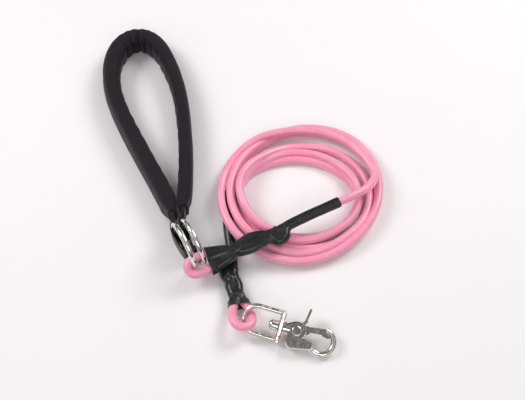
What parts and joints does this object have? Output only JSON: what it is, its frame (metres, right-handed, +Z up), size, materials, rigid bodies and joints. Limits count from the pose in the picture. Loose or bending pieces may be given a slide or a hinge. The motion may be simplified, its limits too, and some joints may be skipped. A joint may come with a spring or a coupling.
{
  "type": "training leash",
  "caption": "Coiled round-rope training leash with a padded hand loop on rings and a swivel trigger snap",
  "frame": {"origin": "on the table, under the middle of the leash measured without its rope and sleeves", "axes": "+Y from the snap towards the top of the hand loop, +X to the side where the rope's coil lies, +Z up from the table"},
  "size_m": [0.2865, 0.3582, 0.0481],
  "materials": {
    "black_cover": "matt woven neoprene cover",
    "foam": "closed-cell foam",
    "black_webbing": "woven nylon",
    "thread": "bonded nylon thread",
    "ring_chrome": "bright plate",
    "pink_rope": "glossy coated rope",
    "shrink_tube": "satin heat-shrink tube",
    "nickel": "bright nickel plate",
    "spring_steel": "plain wire"
  },
  "bodies": {
    "rope": {"rope_handle_loop": "pink_rope", "rope_under_handle_sleeve": "pink_rope", "rope_short_end_handle": "pink_rope", "rope_lead": "pink_rope", "rope_coil": "pink_rope", "rope_under_snap_sleeve": "pink_rope", "rope_short_end_snap": "pink_rope", "rope_snap_loop": "pink_rope", "handle_sleeve": "shrink_tube", "snap_sleeve": "shrink_tube"},
    "ring_left": {"left_ring": "ring_chrome"},
    "ring_right": {"right_ring": "ring_chrome"},
    "handle": {"handle_cover": "black_cover", "handle_foam": "foam", "handle_webbing": "black_webbing", "left_loop_stitching": "thread", "right_loop_stitching": "thread"},
    "eye": {"snap_eye": "nickel"},
    "hook": {"swivel_post": "nickel", "swivel_washer": "nickel", "hook_body": "nickel", "trigger_pivot": "nickel", "trigger_spring": "spring_steel"},
    "trigger": {"trigger": "nickel"}
  },
  "joints": [
    {"name": "left_ring_turn", "type": "hinge", "parent": "rope", "child": "ring_left", "pos_m": [-0.01859, -0.08247, 0.0241], "axis": [0.8733, 0.4872, 0], "continuous": true},
    {"name": "right_ring_turn", "type": "hinge", "parent": "rope", "child": "ring_right", "pos_m": [-0.01073, -0.07809, 0.0241], "axis": [0.8733, 0.4872, 0], "continuous": true},
    {"name": "handle_swing", "type": "hinge", "parent": "rope", "child": "handle", "pos_m": [-0.01466, -0.08028, 0.0241], "axis": [0.8733, 0.4872, 0], "range_deg": [0, 110]},
    {"name": "eye_tilt", "type": "hinge", "parent": "rope", "child": "eye", "pos_m": [0.03555, -0.14507, 0.01461], "axis": [-0.2683, -0.9633, 0], "range_deg": [0, 10]},
    {"name": "hook_swivel", "type": "hinge", "parent": "eye", "child": "hook", "pos_m": [0.03344, -0.14448, 0.0148], "axis": [0.9596, -0.2673, -0.0874], "continuous": true},
    {"name": "trigger_open", "type": "hinge", "parent": "hook", "child": "trigger", "pos_m": [0.08142, -0.15785, 0.01043], "axis": [-0.007, 0.2881, -0.9576], "range_deg": [0, 18], "stiffness_Nm_per_rad": 0.05, "springref_deg": -20.05}
  ]
}
